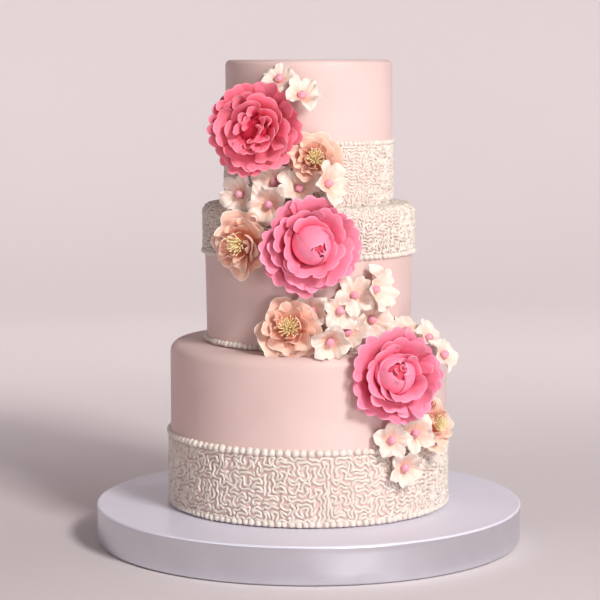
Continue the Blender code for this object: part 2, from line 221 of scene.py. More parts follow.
class Parts:
    """Collects the pieces of one mesh. rim and tone are values that its material reads at each point."""

    def __init__(self):
        self.points = []
        self.faces = []
        self.rim = []
        self.tone = []
        self.count = 0

    def add(self, points, faces, rim, tone=0.5):
        """Adds points as rows of x, y, z, with faces as rows of indices into them."""
        self.points.append(np.asarray(points, float))
        self.faces += [[self.count + int(index) for index in face] for face in faces]
        self.rim.append(np.broadcast_to(rim, len(points)).astype(float))
        self.tone.append(np.full(len(points), tone, float))
        self.count += len(points)

    def make(self, name, material, place=None, sharp=60.0):
        """Makes the object and puts it in place."""
        mesh = bpy.data.meshes.new(name)
        mesh.from_pydata(np.concatenate(self.points).tolist(), [], self.faces)
        for label, values in (("rim", self.rim), ("tone", self.tone)):
            layer = mesh.attributes.new(label, "FLOAT", "POINT")
            layer.data.foreach_set("value", np.concatenate(values))
        mesh.materials.append(material)
        if place is not None:
            mesh.transform(place)
        mesh.shade_smooth()
        mesh.set_sharp_from_angle(angle=math.radians(sharp))
        thing = bpy.data.objects.new(name, mesh)
        bpy.context.scene.collection.objects.link(thing)
        return thing

    def finish(self, name, material, slot, node, place=None, sharp=60.0):
        """Makes the object in the place of a node and lets it ride on the frame."""
        thing = self.make(name, material, place, sharp)
        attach(thing, "root")
        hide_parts(node)


def grid_faces(rows, columns, closed=False, start=0):
    """Quads between neighbouring rows of a grid of points."""
    faces = []
    for row in range(rows - 1):
        low = start + row * columns
        high = low + columns
        for column in range(columns if closed else columns - 1):
            after = (column + 1) % columns
            faces.append((low + column, low + after, high + after, high + column))
    return faces


def unit(vectors):
    """Vectors along the last axis of an array, at a length of 1."""
    return vectors / np.maximum(np.linalg.norm(vectors, axis=-1, keepdims=True), 1e-12)


def round_grid(radius, angle, height):
    """A grid of points, rows by columns by 3, from their radius, angle and height about the Z axis."""
    return np.stack(np.broadcast_arrays(radius * np.cos(angle), radius * np.sin(angle), height), 2)


def sheet(grid, thickness, closed=False):
    """Points, faces and rim values of a thin sheet round a grid of points, rows by columns by 3.

    Its rows run from the root to the rim. Where it is closed, the last column meets the first.
    """
    rows, columns, _ = grid.shape
    if closed:
        across = np.roll(grid, -1, axis=1) - np.roll(grid, 1, axis=1)
    else:
        across = np.gradient(grid, axis=1)
    normal = unit(np.cross(across, np.gradient(grid, axis=0)))
    reach = np.linspace(0, 1, rows)
    offset = normal * (thickness / 2 * (1 - 0.5 * reach**3))[:, None, None]
    size = rows * columns
    points = np.concatenate([grid + offset, grid - offset]).reshape(-1, 3)
    faces = grid_faces(rows, columns, closed)
    faces += [tuple(reversed(face)) for face in grid_faces(rows, columns, closed, start=size)]
    index = np.arange(size).reshape(rows, columns)
    if closed:
        edges = [[*index[0, ::-1]], [*index[-1]]]
    else:
        edges = [[*index[0], *index[1:, -1], *index[-1, -2::-1], *index[-2:0:-1, 0]]]
    for edge in edges:
        for here, there in zip(edge, edge[1:] + edge[:1]):
            faces.append((there, here, here + size, there + size))
    rim = np.tile(np.repeat(reach, columns), 2)
    return points, faces, rim


def smooth_noise(draw, waves, low, high):
    """A smooth function of an angle that sums a few whole waves round the turn, between about -1 and 1."""
    terms = [(draw.randint(low, high), draw.uniform(0, TURN), draw.uniform(0.4, 1)) for _ in range(waves)]
    total = sum(size for _, _, size in terms)
    return lambda angle: sum(size * np.sin(count * angle + phase) for count, phase, size in terms) / total


def turned(profile, columns=TURNED_COLUMNS, unevenness=0.0, seed=1):
    """Turns a profile of (radius, height) points round the axis. Its surface wanders by an unevenness."""
    angle = np.arange(columns) * TURN / columns
    wander = smooth_noise(random.Random(seed), 6, 2, 9)(angle)
    radius, height = (np.array(values)[:, None] for values in zip(*profile))
    fading = np.cos(0.7 * np.arange(len(profile)))[:, None]
    reach = np.maximum(radius + unevenness * wander * fading, 0.0)
    points = round_grid(reach, angle, height).reshape(-1, 3)
    parts = Parts()
    parts.add(points, grid_faces(len(profile), columns, closed=True), 0.5)
    return parts


def unit_ball(columns, rows):
    """Points and faces of a ball of radius 1 with its poles on the Z axis."""
    ring = [(column, (column + 1) % columns) for column in range(columns)]
    polar = math.pi * np.arange(1, rows)[:, None] / rows
    angle = TURN * np.arange(columns) / columns
    between = round_grid(np.sin(polar), angle, -np.cos(polar)).reshape(-1, 3)
    points = np.concatenate([[(0, 0, -1)], between, [(0, 0, 1)]])
    last = len(points) - 1
    base = last - columns
    faces = [(0, 1 + after, 1 + here) for here, after in ring]
    faces += grid_faces(rows - 1, columns, closed=True, start=1)
    faces += [(base + here, base + after, last) for here, after in ring]
    return points, faces


def arc(centre_radius, centre_height, size, start, end, rows=EDGE_ROWS):
    """Profile points on an arc, with its angles in degrees from the outward direction."""
    turns = np.radians(np.linspace(start, end, rows))
    return list(zip(centre_radius + size * np.cos(turns), centre_height + size * np.sin(turns)))


# Materials


def new_material(name, colour, roughness):
    """A material with a plain shader; returns it with its node tree and its shader."""
    made = bpy.data.materials.new(name)
    made.use_nodes = True
    tree = made.node_tree
    shader = tree.nodes["Principled BSDF"]
    shader.inputs["Base Color"].default_value = (*colour, 1.0)
    shader.inputs["Roughness"].default_value = roughness
    return made, tree, shader


def noise(tree, scale, detail=3.0):
    """A noise texture in the row frame; returns its value."""
    where = tree.nodes.new("ShaderNodeTexCoord")
    made = tree.nodes.new("ShaderNodeTexNoise")
    made.inputs["Scale"].default_value = scale
    made.inputs["Detail"].default_value = detail
    made.inputs["Roughness"].default_value = 0.55
    tree.links.new(where.outputs["Object"], made.inputs["Vector"])
    return made.outputs["Fac"]


def attribute(tree, name):
    """The value stored at each point of the mesh under a name."""
    made = tree.nodes.new("ShaderNodeAttribute")
    made.attribute_name = name
    return made.outputs["Fac"]


def ramp(tree, value, stops):
    """Colours along a value, as (position, colour) stops."""
    made = tree.nodes.new("ShaderNodeValToRGB")
    made.color_ramp.interpolation = "EASE"
    elements = made.color_ramp.elements
    while len(elements) < len(stops):
        elements.new(0.5)
    for element, (position, colour) in zip(elements, stops):
        element.position = position
        element.color = (*colour, 1.0)
    tree.links.new(value, made.inputs["Fac"])
    return made.outputs["Color"]


def mix(tree, factor, first, second, mode="MIX"):
    """Mixes two colours by a factor; each may be a socket or a value."""
    made = tree.nodes.new("ShaderNodeMix")
    made.data_type = "RGBA"
    made.blend_type = mode
    for socket, value in ((made.inputs[0], factor), (made.inputs[6], first), (made.inputs[7], second)):
        if isinstance(value, bpy.types.NodeSocket):
            tree.links.new(value, socket)
        elif isinstance(value, tuple):
            socket.default_value = (*value, 1.0)
        else:
            socket.default_value = value
    return made.outputs[2]


def span(tree, value, low, high, new_low, new_high):
    """Maps a value from one range to another, clamped."""
    made = tree.nodes.new("ShaderNodeMapRange")
    for socket, number in zip(made.inputs[1:5], (low, high, new_low, new_high)):
        socket.default_value = number
    tree.links.new(value, made.inputs[0])
    return made.outputs[0]


def patchy(tree, scale, first, second, detail=3.0):
    """Two colours in soft patches, which are smaller the larger the scale is."""
    return mix(tree, span(tree, noise(tree, scale, detail), 0.35, 0.65, 0.0, 1.0), first, second)


def finish_surface(tree, shader, colour, roughness, bumps):
    """Links a colour, a varying roughness and bumps to a shader.

    roughness is a noise scale with the lowest and highest value. bumps are (noise scale, detail, height) with
    the coarsest first.
    """
    scale, low, high = roughness
    tree.links.new(colour, shader.inputs["Base Color"])
    tree.links.new(span(tree, noise(tree, scale), 0.3, 0.7, low, high), shader.inputs["Roughness"])
    previous = None
    for scale, detail, height in bumps:
        made = tree.nodes.new("ShaderNodeBump")
        made.inputs["Strength"].default_value = 1.0
        made.inputs["Distance"].default_value = height
        tree.links.new(noise(tree, scale, detail), made.inputs["Height"])
        if previous:
            tree.links.new(previous, made.inputs["Normal"])
        previous = made.outputs["Normal"]
    tree.links.new(previous, shader.inputs["Normal"])


def soften(shader, weight, radius, scale):
    """Light that scatters a little way into sugar."""
    shader.inputs["Subsurface Weight"].default_value = weight
    shader.inputs["Subsurface Radius"].default_value = radius
    shader.inputs["Subsurface Scale"].default_value = scale


def icing_material():
    """Rolled blush icing: matt, smoothed by hand, with a fine grain."""
    made, tree, shader = new_material("blush_icing", (0.83, 0.62, 0.57), 0.55)
    colour = patchy(tree, 14.0, (0.76, 0.56, 0.525), (0.81, 0.61, 0.575), 2.0)
    bumps = [(45.0, 2.0, 0.25 * MM), (1500.0, 2.0, 0.05 * MM)]
    finish_surface(tree, shader, colour, (60.0, 0.48, 0.62), bumps)
    soften(shader, 0.12, (1.0, 0.5, 0.35), 2.0 * MM)
    return made


def piping_material():
    """Royal icing as piped: ivory with a soft satin surface, darker and rosier at its foot on the blush
    icing, which is painted shade.
    """
    made, tree, shader = new_material("ivory_piping", (0.86, 0.75, 0.65), 0.42)
    crest = patchy(tree, 90.0, (0.80, 0.72, 0.64), (0.86, 0.79, 0.72))
    above_painted_foot_shade = span(tree, attribute(tree, "rim"), 0.0, 0.5, 0.0, 1.0)
    # The dark rosy colour at the foot is painted shade, where the strokes meet the icing and shade one
    # another.
    colour = mix(tree, above_painted_foot_shade, (0.54, 0.37, 0.31), crest)
    finish_surface(tree, shader, colour, (300.0, 0.36, 0.5), [(900.0, 2.0, 0.08 * MM)])
    soften(shader, 0.05, (1.0, 0.7, 0.5), 0.8 * MM)
    return made


def petal_material(name, deep, middle, light, clear, glow, waviness):
    """Sugar paste coloured from its root to its rim, some petals lighter.

    clear is how much light goes through, glow how far its red, green and blue get, and waviness the height of
    the waves in its surface. The deep colour at the root is partly the paste's own and partly painted shade
    in the crevices, and the light colour at the very rim partly a painted highlight.
    """
    made, tree, shader = new_material(name, middle, 0.58)
    # Darker at the root, partly painted shade in the crevices, and lighter at the very rim, partly a painted
    # highlight
    stops = [(0.0, deep), (0.35, deep), (0.72, middle), (0.93, middle), (1.0, light)]
    tint_with_painted_light = ramp(tree, attribute(tree, "rim"), stops)
    paler = mix(tree, span(tree, attribute(tree, "tone"), 0.0, 1.0, 0.0, 0.30), tint_with_painted_light, light)
    mottle = span(tree, noise(tree, 160.0), 0.35, 0.65, 0.93, 1.05)
    colour = mix(tree, 1.0, paler, mottle, "MULTIPLY")
    bumps = [(220.0, 3.0, waviness), (1400.0, 2.0, 0.05 * MM)]
    finish_surface(tree, shader, colour, (260.0, 0.5, 0.66), bumps)
    shader.inputs["Specular IOR Level"].default_value = 0.25
    soften(shader, clear, glow, 1.6 * MM)
    return made


def peony_material(name, middle, light):
    """A peony's paste, deep crimson at the roots of its petals: partly its own colour and partly painted
    shade.
    """
    return petal_material(name, (0.66, 0.02, 0.07), middle, light, 0.22, (1.0, 0.12, 0.18), 0.2 * MM)


def peach_material():
    """The open blooms' paste."""
    # The deep root colour is partly the paste's own and partly painted shade, and the light rim colour partly
    # a painted highlight.
    deep, middle, light = (0.78, 0.26, 0.14), (1.0, 0.58, 0.45), (1.0, 0.80, 0.70)
    return petal_material("bloom_peach", deep, middle, light, 0.25, (1.0, 0.45, 0.35), 0.3 * MM)


def ivory_material():
    """The blossoms' paste."""
    # The deep root colour is partly the paste's own and partly painted shade in the folds, and the light rim
    # colour partly a painted highlight.
    deep, middle, light = (0.88, 0.58, 0.45), (0.93, 0.76, 0.66), (0.95, 0.88, 0.81)
    return petal_material("blossom_ivory", deep, middle, light, 0.15, (1.0, 0.55, 0.42), 0.3 * MM)


def stamen_material():
    """Yellow stamens with paler tips."""
    made, tree, shader = new_material("stamen_yellow", (0.90, 0.70, 0.30), 0.5)
    stops = [(0.0, (0.98, 0.58, 0.22)), (0.4, (1.0, 0.82, 0.42)), (1.0, (1.0, 0.91, 0.60))]
    colour = ramp(tree, attribute(tree, "rim"), stops)
    finish_surface(tree, shader, colour, (500.0, 0.42, 0.6), [(1800.0, 2.0, 0.06 * MM)])
    return made


def ball_material():
    """Pink sugar pearls at the middle of the blossoms."""
    made, tree, shader = new_material("centre_pink", (0.86, 0.38, 0.50), 0.38)
    colour = patchy(tree, 400.0, (0.82, 0.33, 0.44), (0.90, 0.45, 0.56))
    finish_surface(tree, shader, colour, (900.0, 0.32, 0.46), [(1500.0, 2.0, 0.06 * MM)])
    soften(shader, 0.2, (1.0, 0.4, 0.4), 1.5 * MM)
    return made


def stand_side_material():
    """The drum's satin wrap: pearly lilac, with a soft metallic sheen that varies a little."""
    made, tree, shader = new_material("stand_satin", (0.72, 0.71, 0.78), 0.34)
    colour = patchy(tree, 14.0, (0.69, 0.70, 0.76), (0.74, 0.75, 0.81))
    finish_surface(tree, shader, colour, (30.0, 0.28, 0.38), [(500.0, 2.0, 0.02 * MM)])
    shader.inputs["Metallic"].default_value = 0.92
    return made


def stand_top_material():
    """The drum's top: the same pearly lilac, lying flat and smooth with a glossy film over it."""
    made, tree, shader = new_material("stand_pearl", (0.82, 0.81, 0.93), 0.4)
    colour = patchy(tree, 9.0, (0.80, 0.80, 0.92), (0.84, 0.83, 0.95))
    finish_surface(tree, shader, colour, (30.0, 0.34, 0.46), [(400.0, 2.0, 0.01 * MM)])
    shader.inputs["Specular IOR Level"].default_value = 0.25
    shader.inputs["Coat Weight"].default_value = 0.25
    shader.inputs["Coat Roughness"].default_value = 0.12
    return made


# The stand and the tiers


def build_stand():
    """The drum: its satin side, whose wrap bulges at the upper edge, and its smooth top."""
    low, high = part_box("stand")
    radius, top = high.x, high.z
    foot, lip = 2.6 * MM, 2.2 * MM
    waist = radius - 0.5 * MM
    flat = top - 0.3 * MM
    side = [(0.0, low.z), (radius - foot, low.z)]
    side += arc(radius - foot - 0.6 * MM, low.z + foot, foot, -90, 0, 6)
    side += [(waist, top * 0.3), (waist, top - 3.4 * lip)]
    side += arc(radius - lip, top - lip, lip, -20, 15)
    face = arc(radius - lip, top - lip, lip, 15, 90)
    face += [(radius - 2.6 * lip, top - 0.25 * MM), (radius - 5 * lip, flat), (0.0, flat)]
    drum = turned(side, unevenness=0.12 * MM, seed=3)
    drum.finish("stand_side", stand_side_material(), "stand", "stand", sharp=50.0)
    turned(face).finish("stand_top", stand_top_material(), "stand", "stand")


def tier_profile(base_radius, top_radius, low, high, shoulder):
    """Profile of an iced tier, from the middle of its underside to the middle of its top."""
    foot = 1.2 * MM
    profile = [(0.0, low), (base_radius - 1.25 * foot, low)]
    profile += arc(base_radius - foot, low + foot, foot, -80, 0, 4)
    for share in np.linspace(0.08, 0.92, 9):
        profile.append((base_radius + (top_radius - base_radius) * share, low + (high - low) * share))
    profile = [point for point in profile if point[1] < high - shoulder]
    profile += arc(top_radius - shoulder, high - shoulder, shoulder, 0, 90)
    profile += [((top_radius - shoulder) / 2, high), (0.0, high)]
    return profile


def build_icing(icing):
    """The smooth iced bodies of the three tiers."""
    tiers = (
        ("bottom", BOTTOM_FOOT, BOTTOM_TOP, BOTTOM_RADIUS, BOTTOM_RADIUS, BOTTOM_SHOULDER),
        ("middle", MIDDLE_FOOT, MIDDLE_TOP, MIDDLE_BASE_RADIUS, MIDDLE_TOP_RADIUS, MIDDLE_SHOULDER),
        ("top", TOP_FOOT, CAKE_TOP, TOP_RADIUS, TOP_RADIUS, TOP_SHOULDER),
    )
    for seed, (tier, low, high, base_radius, top_radius, shoulder) in enumerate(tiers, 11):
        profile = tier_profile(base_radius, top_radius, low, high, shoulder)
        body = turned(profile, unevenness=0.15 * MM, seed=seed)
        body.finish(f"icing_{tier}", icing, "icing", f"tier_{tier}")


def pearl_string(parts, wall_radius, height, radius, count, seed):
    """Piped pearls round a wall, each a little different in size and drawn out to one side by the nozzle."""
    draw = random.Random(seed)
    ball, faces = unit_ball(12, 8)
    centre_radius = wall_radius + 0.08 * radius
    for number in range(count):
        size = radius * draw.uniform(0.88, 1.08)
        angle = TURN * (number + draw.uniform(-0.10, 0.10)) / count
        tail = (draw.uniform(0.2, 1.0), draw.uniform(-0.2, 0.5), draw.uniform(-0.9, 0.1))
        pull = np.clip(ball @ unit(np.array(tail)), 0, 1) ** 5
        shape = ball * (size * (1 + 0.22 * pull))[:, None]
        shape[:, 2] *= 0.96
        side = np.array((math.cos(angle), math.sin(angle), 0))
        forward = np.array((-math.sin(angle), math.cos(angle), 0))
        place = side * centre_radius + (0, 0, height)
        parts.add(shape @ np.array([forward, side, (0, 0, 1)]) + place, faces, 0.8, draw.random())


def build_pearls(piping):
    """The strings of pearls: tier, radius of its wall, height, radius of a pearl and number of pearls."""
    strings = (
        ("bottom", BOTTOM_RADIUS, PEARLS_BOTTOM_LOW, 3.2 * MM, 134),
        ("bottom", BOTTOM_RADIUS, PEARLS_BOTTOM_HIGH, 3.7 * MM, 117),
        ("middle", MIDDLE_BASE_RADIUS, PEARLS_MIDDLE_LOW, 3.0 * MM, 102),
        ("middle", MIDDLE_TOP_RADIUS, PEARLS_MIDDLE_HIGH, 2.9 * MM, 110),
        ("top", TOP_RADIUS, PEARLS_TOP_HIGH, 2.4 * MM, 106),
    )
    made = {}
    for seed, (tier, wall, height, radius, count) in enumerate(strings):
        parts = made.setdefault(tier, Parts())
        pearl_string(parts, wall, height, radius, count, seed)
    for tier, parts in made.items():
        parts.finish(f"pearls_{tier}", piping, "icing", f"tier_{tier}")


# Piped lace


def random_tree(columns, rows, draw):
    """Links of a random tree that reaches every cell of a grid, which closes on itself across."""
    start = (draw.randrange(columns), draw.randrange(rows))
    reached = {start}
    growing = [start]
    links = set()
    while growing:
        index = len(growing) - 1 if draw.random() < LACE_WANDER else draw.randrange(len(growing))
        column, row = growing[index]
        sides = [((column + step) % columns, row) for step in (-1, 1)]
        sides += [(column, row + step) for step in (-1, 1) if 0 <= row + step < rows]
        free = [cell for cell in sides if cell not in reached]
        if free:
            chosen = draw.choice(free)
            reached.add(chosen)
            growing.append(chosen)
            links |= {((column, row), chosen), (chosen, (column, row))}
        else:
            growing.pop(index)
    return links


def tree_outline(columns, rows, links):
    """The one line that runs round a tree: (column, row) of its points, four in each cell."""
    following = {}
    for column in range(columns):
        for row in range(rows):
            for side in (-1, 1):
                for rise in (-1, 1):
                    x, y = 2 * column + (side > 0), 2 * row + (rise > 0)
                    beside = ((column, row), ((column + side) % columns, row)) in links
                    over = ((column, row), (column, row + rise)) in links
                    first = (x + side, y) if beside else (x, y - rise)
                    second = (x, y + rise) if over else (x - side, y)
                    following[(x, y)] = (first, second)
    path = [(0, 0)]
    before = None
    while True:
        x, y = path[-1]
        turns = int(x // (2 * columns)) * 2 * columns
        options = [(px + turns, py) for px, py in following[(x - turns, y)]]
        there = options[1] if options[0] == before else options[0]
        if there == path[0]:
            return np.array(path, float)
        before = path[-1]
        path.append(there)


def smooth_loop(points, steps):
    """A closed curve through points, with a number of steps from each to the next."""
    before, after, later = (np.roll(points, -shift, axis=0) for shift in (-1, 1, 2))
    t = np.arange(steps)[:, None, None] / steps
    curve_points = 0.5 * (
        2 * points
        + (after - before) * t
        + (2 * before - 5 * points + 4 * after - later) * t**2
        + (3 * points - before - 3 * after + later) * t**3
    )
    return curve_points.transpose(1, 0, 2).reshape(-1, 2)


def wandering_strokes(across, up, pitch, seed):
    """Piped strokes that wander all over a band, side by side at a pitch.

    They are stretches of the outline of a random tree, with its bends loosened.
    """
    draw = random.Random(seed)
    columns = round(across / pitch / 2)
    margin = LACE_HALF_WIDTH * pitch
    rows = max(1, round((up / pitch + 0.4) / 2))
    step_across = across / columns / 2
    step_up = (up - 2 * margin) / (2 * rows - 1)
    path = tree_outline(columns, rows, random_tree(columns, rows, draw))
    ahead = unit(np.roll(path, -1, axis=0) - np.roll(path, 1, axis=0))
    aside = np.stack([-ahead[:, 1], ahead[:, 0]], 1)
    wave = [(-1) ** index * draw.uniform(0.4, 1.4) * LACE_WAVE for index in range(len(path))]
    path += aside * np.array(wave)[:, None]
    path += [[draw.uniform(-LACE_LOOSE, LACE_LOOSE) for _ in range(2)] for _ in range(len(path))]
    loop = smooth_loop(path, LACE_STEPS)
    turn = loop[:, 0] / (2 * columns) * TURN
    for axis in (0, 1):
        for _ in range(3):
            count = draw.randint(columns // 5, columns // 2)
            tilt = draw.uniform(-0.9, 0.9)
            loop[:, axis] += LACE_SWAY * np.sin(count * turn + tilt * loop[:, 1] + draw.uniform(0, TURN))
    place = np.stack([loop[:, 0] * step_across, margin + loop[:, 1] * step_up], 1)
    place[:, 1] = np.clip(place[:, 1], 0.6 * margin, up - 0.6 * margin)
    strokes = []
    start = 0
    while start < len(place):
        end = start + round(draw.uniform(3, 16) * LACE_STEPS)
        strokes.append(place[start:end])
        start = end + draw.choice((3, 4))
    return [stroke for stroke in strokes if len(stroke) > LACE_STEPS]


def round_ends(line, half):
    """A stroke's points with rounded ends added, and how wide the stroke is at each."""
    ahead = unit(line[-1] - line[-2])
    behind = unit(line[0] - line[1])
    before, after, widths = [], [], []
    for turn in (80, 50, 20):
        step = half * math.sin(math.radians(turn))
        before.append(line[0] + behind * step)
        after.insert(0, line[-1] + ahead * step)
        widths.append(math.cos(math.radians(turn)))
    return np.concatenate([before, line, after]), np.array(widths + [1.0] * len(line) + widths[::-1])


def lace_mesh(tier, piping, circumference, length, place, pitch, seed):
    """Piped strokes over a band round the cake, where place(angle, up) gives points and two directions."""
    parts = Parts()
    draw = random.Random(seed)
    half = LACE_HALF_WIDTH * pitch
    section = [math.radians(turn) for turn in (0, 42, 90, 138, 180)]
    # Rim values from 0 at a stroke's foot to 1 at its crest; the piping's material paints shade at the foot
    # and fades it out towards the crest.
    above_painted_foot_shade = np.array([math.sin(turn) for turn in section])
    for line in wandering_strokes(circumference, length, pitch, seed):
        spine, width = round_ends(line, half)
        ahead = unit(np.gradient(spine, axis=0))
        position, out, rise = place(spine[:, 0] / circumference * TURN, spine[:, 1])
        side = np.cross(rise, out)
        sideways = side * ahead[:, 1:] - rise * ahead[:, :1]
        along = np.arange(len(spine)) * draw.uniform(0.25, 0.5) + draw.uniform(0, TURN)
        width = (width * draw.uniform(0.94, 1.06) * (1 + 0.07 * np.sin(along)))[:, None]
        height = LACE_HEIGHT * pitch * draw.uniform(0.85, 1.1)
        rings = []
        for turn in section:
            above = out * (width * height * math.sin(turn) - SUNK)
            rings.append(position + sideways * width * half * math.cos(turn) + above)
        points = np.stack(rings, 1).reshape(-1, 3)
        faces = [tuple(reversed(face)) for face in grid_faces(len(spine), len(section))]
        parts.add(points, faces, np.tile(above_painted_foot_shade, len(spine)), draw.random())
    parts.finish(f"lace_{tier}", piping, "icing", f"tier_{tier}", sharp=180.0)


def tier_band(radius, low, top, shoulder):
    """Places lace up a wall, over its rounded edge and in across the top.

    The function that it returns gives points with their outward and rising directions.
    """
    wall = top - shoulder - low
    bend = shoulder * math.pi / 2

    def place(angle, up):
        turn = np.clip((up - wall) / shoulder, 0, math.pi / 2)
        past = np.maximum(up - wall - bend, 0)
        reach = radius - shoulder + shoulder * np.cos(turn) - past
        height = np.minimum(low + up, top - shoulder) + shoulder * np.sin(turn)
        side = np.stack([np.cos(angle), np.sin(angle), np.zeros_like(angle)], 1)
        position = side * reach[:, None]
        position[:, 2] = height
        out = side * np.cos(turn)[:, None]
        out[:, 2] = np.sin(turn)
        rise = -side * np.sin(turn)[:, None]
        rise[:, 2] = np.cos(turn)
        return position, out, rise

    return place


def build_lace(piping):
    """The three bands of piped lace, of which the middle one goes on across the top of its tier."""
    bend = MIDDLE_SHOULDER * math.pi / 2
    across = MIDDLE_TOP_RADIUS - MIDDLE_SHOULDER - TOP_RADIUS - LACE_INNER_GAP
    middle_end = MIDDLE_TOP - MIDDLE_SHOULDER + bend + across
    bands = (
        ("bottom", BOTTOM_RADIUS, BOTTOM_SHOULDER, BOTTOM_TOP, LACE_BOTTOM_LOW, LACE_BOTTOM_HIGH, LACE_PITCH),
        ("middle", MIDDLE_TOP_RADIUS, MIDDLE_SHOULDER, MIDDLE_TOP, LACE_MIDDLE_LOW, middle_end, FINE_PITCH),
        ("top", TOP_RADIUS, TOP_SHOULDER, CAKE_TOP, LACE_TOP_LOW, LACE_TOP_HIGH, FINE_PITCH),
    )
    for seed, (tier, radius, shoulder, top, low, end, pitch) in enumerate(bands, 5):
        place = tier_band(radius, low, top, shoulder)
        lace_mesh(tier, piping, TURN * radius, end - low, place, pitch, seed)


# Flowers, each made facing +Z with its throat at the origin


def curve(points, count):
    """Points on a smooth curve of four control points, as an array of (radius, height)."""
    a, b, c, d = (np.array(point, float) for point in points)
    t = np.linspace(0, 1, count)[:, None]
    return (1 - t) ** 3 * a + 3 * (1 - t) ** 2 * t * b + 3 * (1 - t) * t**2 * c + t**3 * d


def petal(parts, size, profile, centre, half, style, draw, columns=33, rows=13, shift=(0.0, 0.0)):
    """One petal about the flower's axis, or about an axis shifted from it.

    profile is four control points in (radius, height) from root to rim, and centre and half are the petal's
    angle and half width. style holds lobes and scallop for the frilled edge, corner for how far its corners
    are rounded off, ruffle and waves for its undulation, lean for how far one side lies over the next
    petal, curl for how far that side stands up, root for the width at the root, and thick for the thickness.
    """
    s = np.linspace(-1, 1, columns)[None, :]
    t = np.linspace(0, 1, rows)[:, None]
    phase = draw.uniform(-0.35, 0.35)
    uneven = 1 + 0.35 * np.sin(draw.uniform(2, 4) * s + draw.uniform(0, TURN))
    frill = np.abs(np.sin(math.pi * style["lobes"] * (s + 1) / 2 + phase)) ** 0.65 - 0.75
    reach = 1 + style["scallop"] * frill * uneven * t**3 - style["corner"] * np.abs(s) ** 3.5 * t
    reach = reach * (1 + 0.10 * draw.uniform(-1, 1) * s * t)
    count = 60
    path = curve(profile, count)
    tangent = (path[-1] - path[-4]) / 3 * (count - 1)
    where = t * reach
    steps = np.linspace(0, 1, count)
    beyond = np.maximum(where - 1, 0)
    radius = np.interp(where, steps, path[:, 0]) + beyond * tangent[0]
    height = np.interp(where, steps, path[:, 1]) + beyond * tangent[1]
    waves = [(draw.uniform(0.7, 1.3) * style["waves"], draw.uniform(0, TURN)) for _ in range(4)]
    rolls = sum(np.sin(math.pi * number * s + start) for number, start in waves[:2]) / 2
    sways = sum(np.sin(math.pi * number * s * 0.8 + start) for number, start in waves[2:]) / 2
    height = height + style["ruffle"] * t**2.5 * rolls
    radius = radius + 0.7 * style["ruffle"] * t**2.5 * sways
    raised = np.clip(s * math.copysign(1, style["lean"]), 0, 1)
    height = height + style["lean"] * s * t + style["curl"] * raised**4 * t
    width = style["root"] + (1 - style["root"]) * np.sin(np.minimum(t * 1.4, 1) * math.pi / 2)
    angle = centre + half * s * width
    grid = round_grid(radius, angle, height) + (*shift, 0.0)
    points, faces, rim = sheet(grid * size, style["thick"])
    parts.add(points, faces, rim, draw.random())


def peony_parts(name, size):
    """A peony: rings of frilled petals, a wrapped bud if it has one, and curled petals in its heart."""
    draw = random.Random(name)
    parts = Parts()
    for ring, petals in enumerate(PEONY_PETALS[name]):
        foot = 0.05 * ring
        for angle, half, reach in petals:
            rise = 0.35 + 0.66 * (1 - reach) + 0.02 * ring + draw.uniform(-0.05, 0.05)
            profile = ((0.06, foot), (0.64 * reach, foot - 0.04), (0.72 * reach, rise - 0.05), (reach, rise))
            lobes = max(2, round(2 * math.radians(half) * reach * size / SCALLOPS[ring]))
            lean = draw.choice((-1, 1)) * draw.uniform(0.06, 0.12)
            style = dict(PEONY_STYLE, lobes=lobes, lean=lean)
            petal(parts, size, profile, math.radians(angle), math.radians(half), style, draw)
    if name in BUDS:
        wrapped_bud(parts, size, draw, *BUDS[name])
    curled_heart(parts, size, draw, *HEARTS[name])
    return parts


def wrapped_bud(parts, size, draw, ball, opening, lean, shift):
    """A bud: a core in shells that wrap over one another in a spiral, up to an opening round its tip."""
    columns, rows, shells = 33, 16, 3
    tilt = Matrix.Rotation(math.radians(lean[0]), 3, "Y") @ Matrix.Rotation(-math.radians(lean[1]), 3, "X")
    place = np.array(tilt).T
    middle = (*shift, 0.43)
    turns = np.linspace(-1.5, 1.55, 22)
    core = turned([(ball * math.cos(turn), ball * math.sin(turn)) for turn in turns], 40)
    # The core and the shells' roots take colours towards the deep root colour, partly painted shade, and the
    # shells' edges towards the light rim colour.
    parts.add((core.points[0] @ place + middle) * size, core.faces, 0.45, 0.2)
    s = np.linspace(-1, 1, columns)[None, :]
    t = np.linspace(0, 1, rows)[:, None]
    root = 2.2
    for number in range(shells):
        edge = opening + 0.05 + 0.24 * (1 + s) + 0.05 * np.sin(7 * s + number)
        polar = root - (root - edge) * t
        angle = TURN * number / shells + math.radians(95) * s + 0.9 * t**2
        radius = ball * (1.015 + 0.085 * (1 - s) + 0.01 * number)
        grid = round_grid(radius * np.sin(polar), angle, radius * 1.03 * np.cos(polar))
        points, faces, rim = sheet((grid @ place + middle) * size, 0.9 * MM)
        parts.add(points, faces, 0.50 + 0.48 * rim, draw.uniform(0.3, 0.7))


